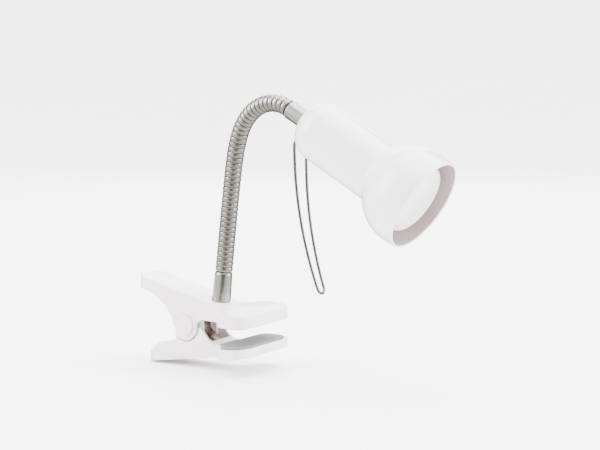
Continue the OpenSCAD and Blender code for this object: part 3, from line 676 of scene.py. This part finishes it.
def neck_at(link, share):
    """A point on the neck at that share of the way along one link."""
    start, stop = neck_points[link], neck_points[link + 1]
    reach = (stop - start).length / 3
    points = (start, start + directions[link] * reach, stop - directions[link + 1] * reach, stop)
    rest = 1 - share
    weights = (rest ** 3, 3 * rest ** 2 * share, 3 * rest * share ** 2, share ** 3)
    return sum((point * weight for point, weight in zip(points, weights)), Vector())


def crest(share):
    """Height of a rib's outline from 0 between two ribs to 1, flat on top with round shoulders."""
    return math.sqrt(max(0.0, 1 - abs(2 * share - 1) ** CREST_POWER))


neck_rings, splits = [], []
for link in range(len(chords)):
    ribs = round((neck_points[link + 1] - neck_points[link]).length / RIB_PITCH)
    for rib in range(ribs):
        if rib == ribs // 2:
            splits.append(len(neck_rings))
        neck_rings += [(neck_at(link, (rib + share) / ribs), crest(share)) for share in RIB_STEPS]
neck_rings.append((neck_points[-1], 0.0))
print("neck:", len(neck_rings), "rings,", len(splits), "splits")

# %% [markdown]
# ## Hose
# The real hose is one wound strip. Here it is cut in the grooves half way between two
# joints, so that each length runs from one link to the next across its joint.

# %% Hose
TUCK = 1.4 * MM
HOSE_SIDES = 48
BORE_SKIP = 4
tucked_start = neck_points[0] - seat_axis * TUCK
tucked_stop = neck_points[-1] + head_axis * TUCK
starts = [0] + splits
stops = splits + [len(neck_rings) - 1]
for number, (joint, start, stop) in enumerate(zip(neck_joints, starts, stops)):
    rings = neck_rings[start:stop + 1]
    centres = [ring[0] for ring in rings]
    heights = [ring[1] for ring in rings]
    if number == 0:
        centres, heights = [tucked_start] + centres, [0.0] + heights
    if number == len(neck_joints) - 1:
        centres, heights = centres + [tucked_stop], heights + [0.0]
    radii = [CREST_R - GROOVE_DEPTH * (1 - height) for height in heights]
    bm = bmesh.new()
    # Each ring's depth into the groove sets how much painted shade it gets.
    outer = sweep(bm, centres, radii, ACROSS, HOSE_SIDES, painted_shade=[1 - height for height in heights])
    bore = centres[::BORE_SKIP] + centres[-1:]
    inner = sweep(bm, bore, [BORE_R * MM] * len(bore), ACROSS, HOSE_SIDES)
    for outer_loop, inner_loop in zip(outer, inner):
        bmesh.ops.bridge_loops(bm, edges=outer_loop + inner_loop)
    hose = piece(f"hose_{number + 1:02d}", bm, "hose_steel", sharp=50)
    if number > 0:
        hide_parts(f"neck_link_{number:02d}")
    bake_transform(hose)

# %% [markdown]
# ## Lead
# Two thin cores run side by side from the grommet, through the threaded sleeve, up the
# hose and into the lamp holder. They follow the hose's curve and are cut where it is.

# %% Lead
CORE_R = 0.95 * MM
CORE_SHIFT = 1.05 * MM


def through(points, steps=6):
    """A smooth curve through given points, as a list of points on it."""
    padded = [points[0]] + list(points) + [points[-1]]
    route = []
    for a, b, c, d in zip(padded, padded[1:], padded[2:], padded[3:]):
        for step in range(steps):
            t = step / steps
            route.append(0.5 * (2 * b + (c - a) * t + (2 * a - 5 * b + 4 * c - d) * t * t
                                + (3 * b - a - 3 * c + d) * t ** 3))
    return route + [points[-1]]


def cores(name, centres, sides=12):
    """Both cores of the lead along the centres, as one piece."""
    bm = bmesh.new()
    for shift in (-CORE_SHIFT, CORE_SHIFT):
        closed_rod(bm, centres, [CORE_R] * len(centres), ACROSS, sides, shift)
    return piece(name, bm, "lead_jacket")


entry = Vector((inlet.x, 0, inlet.z))
clip_route = [entry + Vector(point) * MM
              for point in ((-1.5, 7.3, -0.9), (1, 5.6, -2.6), (5, 2.8, -3.8), (8.4, 1, -4.35))]
clip_route += [seat + seat_axis * (along * MM) + Vector((aside * MM, 0, 0))
               for along, aside in ((-9.3, -1), (-7.4, -0.1), (-5, 0), (0, 0), (10, 0), (19.8, 0))]
clip_lead = cores("lead_in_clip", through(clip_route))
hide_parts("lead")
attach(clip_lead, "clip")
for number, (joint, start, stop) in enumerate(zip(neck_joints, starts, stops)):
    centres = [ring[0] for ring in neck_rings[start:stop + 1:BORE_SKIP]]
    if number == 0:
        centres = [tucked_start] + centres
    if number == len(neck_joints) - 1:
        centres = centres + [tucked_stop]
    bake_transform(cores(f"lead_in_hose_{number + 1:02d}", centres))

HOLDER_ROOM = 25.2 * MM
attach(cores("lead_in_head", [tucked_stop, neck_points[-1] + head_axis * HOLDER_ROOM]), "head")

# %% [markdown]
# ## Head
# The shade is spun from sheet metal: a domed back, a straight tube and a round bowl with
# a hemmed rim. The outline is drawn once outside and once inside, a sheet apart, and the
# inside is marked for painted shade.

# %% Shade
TUBE_R = 20.1
DOME_R = 17.0
SHEET = 1.0
BOWL_R = 33.0
HEAD_L = 103.5
BOWL_BACK = 9.3
JOIN_EASE = 3.5
SEAT_R = 6.4
SLEEVE_BORE_R = 5.15
FLANGE_R = 6.35
FLANGE_SINK = 0.4
HEM_RISE = 0.45
SHADE_STEPS = 160
RIM_Z = DOME_Z + HEAD_L
BOWL_Z = RIM_Z - BOWL_BACK


def arc(centre, radius, first, last, steps):
    """Points on an arc round centre, with angles in degrees from straight out of the axis."""
    angles = [math.radians(first + (last - first) * i / steps) for i in range(steps + 1)]
    return [Vector((centre[0] + radius * math.cos(angle), centre[1] + radius * math.sin(angle)))
            for angle in angles]


def shade_line(inset):
    """The shade's outline from its seat to its rim, drawn in by inset."""
    dome_centre = (TUBE_R - DOME_R, DOME_Z + DOME_R)
    seat_angle = -math.degrees(math.acos((SEAT_R - dome_centre[0]) / (DOME_R - inset)))
    dome = arc(dome_centre, DOME_R - inset, seat_angle, 0, 20)
    ball_r, tube_r = BOWL_R - inset, TUBE_R - inset
    join_angle = -math.degrees(math.acos(tube_r / ball_r))
    rim_angle = math.degrees(math.asin(BOWL_BACK / ball_r))
    ease_angle = math.degrees(JOIN_EASE / ball_r)
    corner = Vector((tube_r, BOWL_Z + ball_r * math.sin(math.radians(join_angle))))
    before = corner - Vector((0, JOIN_EASE))
    bowl = arc((0, BOWL_Z), ball_r, join_angle + ease_angle, rim_angle, 36)
    eased = [before * (1 - t) ** 2 + corner * 2 * t * (1 - t) + bowl[0] * t * t
             for t in (0.0, 0.17, 0.33, 0.5, 0.67, 0.83)]
    return dome + eased + bowl


outer_line, inner_line = shade_line(0), shade_line(SHEET)
hem = [outer_line[-1] * (1 - t) + inner_line[-1] * t + Vector((0, HEM_RISE * math.sin(math.pi * t)))
       for t in (0.2, 0.4, 0.6, 0.8)]
seat_hole = [Vector((SLEEVE_BORE_R, inner_line[0].y)), Vector((SLEEVE_BORE_R, DOME_Z + FLANGE_SINK)),
             Vector((FLANGE_R, DOME_Z + FLANGE_SINK))]
# The inner outline's points are marked, so the inside of the shade gets painted shade.
inside = range(len(outer_line + hem) + 1, len(outer_line + hem + inner_line) + 1)
shade = piece("shade_spun",
              turned(outer_line + hem + inner_line[::-1] + seat_hole, SHADE_STEPS, inside),
              "shade_white", on_head, sharp=40)
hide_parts("shade")
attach(shade, "head")

# %% [markdown]
# ## Bulb
# A small reflector bulb: its face is crowned pearl glass and its back is silvered from
# inside, so they are two pieces that meet at the widest ring.

# %% Bulb glass
BULB_R = 25.0
BULB_SET = 2.5
SHOULDER = 9
FACE_Z = RIM_Z - BULB_SET
WIDEST_Z = FACE_Z - SHOULDER
GLASS = 0.9
FACE_STEPS = 128
face_outside = [
    Vector((0, FACE_Z)), Vector((BULB_R * 0.5, FACE_Z - 0.45)), Vector((BULB_R - 7.5, FACE_Z - 1.15)),
    Vector((BULB_R - 4.6, FACE_Z - 2.0)), Vector((BULB_R - 2.6, FACE_Z - 3.1)),
    Vector((BULB_R - 1.3, FACE_Z - 4.4)), Vector((BULB_R - 0.45, FACE_Z - 6.2)),
    Vector((BULB_R, WIDEST_Z))]
face_inside = [
    Vector((BULB_R - GLASS, WIDEST_Z)), Vector((BULB_R - 2.9, FACE_Z - 5)),
    Vector((BULB_R - 6, FACE_Z - 3)), Vector((BULB_R * 0.5, FACE_Z - 1.35)),
    Vector((0, FACE_Z - GLASS))]
bulb_face = piece("bulb_face", turned(face_outside + face_inside, FACE_STEPS), "bulb_glass", on_head)
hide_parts("bulb_glass")
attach(bulb_face, "head")

BULB_L = 85
TIP_L = 3.6
THREAD_L = 19
CAP_SKIRT = 4
NECK_R = 8.6
glass_low = FACE_Z - BULB_L + TIP_L + THREAD_L + CAP_SKIRT
back_outline = rounded([
    (0, glass_low, 0), (NECK_R, glass_low, 0.5), (NECK_R + 0.4, glass_low + 3, 2),
    (NECK_R + 3.4, FACE_Z - 36, 8), (BULB_R - 4.2, FACE_Z - 19, 4), (BULB_R - 1.4, FACE_Z - 14, 3),
    (BULB_R, WIDEST_Z, 0), (BULB_R - GLASS, WIDEST_Z, 0), (BULB_R - 1.4 - GLASS, FACE_Z - 14, 3),
    (BULB_R - 4.2 - GLASS, FACE_Z - 19, 4), (NECK_R + 3.4 - GLASS, FACE_Z - 36, 8),
    (NECK_R + 0.4 - GLASS, glass_low + 3, 2), (NECK_R - GLASS, glass_low + GLASS, 0.3),
    (0, glass_low + GLASS, 0)])
bulb_back = piece("bulb_back", turned(back_outline), "bulb_glass", on_head, material=mirror_back)
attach(bulb_back, "head")

# %% [markdown]
# ## Wire handle
# One bright wire leaves the dome on both sides of its lower half, turns down and runs in
# a long curve to a U. Its path is a tight arc, a long arc and a half circle.

# %% Wire handle
WIRE_R = 1.0
WIRE_GAP = 15.2
WIRE_GAP_LOW = 7.8
WIRE_DROP = 13.0
WIRE_START = Vector((WIRE_DROP, 0, DOME_Z + DOME_R - math.sqrt(
    DOME_R ** 2 - (math.hypot(WIRE_DROP, WIRE_GAP / 2) - (TUBE_R - DOME_R)) ** 2)))
WIRE_IN = 2.0
WIRE_OUT = 0.3
WIRE_ENTRY = -25.0
WIRE_BEND_R = 2.0
WIRE_CURVE_R = 259.0
WIRE_LIFT = 28.2
WIRE_TURN = 21.5
BEND_STEPS = 12
CURVE_STEPS = 40
U_STEPS = 24
WIRE_SIDES = 20


def way(angle):
    """A unit vector in the head's upright plane, at an angle in degrees from straight down."""
    return Vector((math.cos(math.radians(angle)), 0, math.sin(math.radians(angle))))


def bent(start, radius, first, last, steps):
    """Points on an arc that leaves start in the first direction and ends in the last."""
    turns = [way(first + (last - first) * i / steps) for i in range(steps + 1)]
    return [start + radius * Vector((turn.z - turns[0].z, 0, turns[0].x - turn.x)) for turn in turns]


def wire_leg(side):
    """One leg from inside the dome to the start of the U, in the head's own axes."""
    out = WIRE_START + WIRE_OUT * way(WIRE_ENTRY)
    bend = bent(out, WIRE_BEND_R, WIRE_ENTRY, WIRE_LIFT, BEND_STEPS)
    curve = bent(bend[-1], WIRE_CURVE_R, WIRE_LIFT, WIRE_LIFT + WIRE_TURN, CURVE_STEPS)
    points = [WIRE_START - WIRE_IN * way(WIRE_ENTRY)] + bend[:-1] + curve
    halves = [WIRE_GAP / 2] * len(bend) + [
        (WIRE_GAP + (WIRE_GAP_LOW - WIRE_GAP) * i / CURVE_STEPS) / 2 for i in range(CURVE_STEPS + 1)]
    return [point + Vector((0, side * half, 0)) for point, half in zip(points, halves)]


def wire_u(stop):
    """The half circle from one leg to the other."""
    along = way(WIRE_LIFT + WIRE_TURN) * WIRE_GAP_LOW / 2
    points = []
    for i in range(1, U_STEPS):
        turn = way(i * 180 / U_STEPS)
        points.append(Vector((stop.x + along.x * turn.z, -WIRE_GAP_LOW / 2 * turn.x,
                              stop.z + along.z * turn.z)))
    return points


near_leg = wire_leg(-1)
far_leg = wire_leg(1)
wire_path = [on_head @ (point * MM) for point in near_leg + wire_u(near_leg[-1]) + far_leg[::-1]]
bm = bmesh.new()
away = on_head.to_3x3() @ Vector((1, 0, 0))
closed_rod(bm, wire_path, [WIRE_R * MM] * len(wire_path), away, WIRE_SIDES)
wire = piece("handle_wire_bent", bm, "wire_chrome")
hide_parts("handle_wire")
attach(wire, "head")
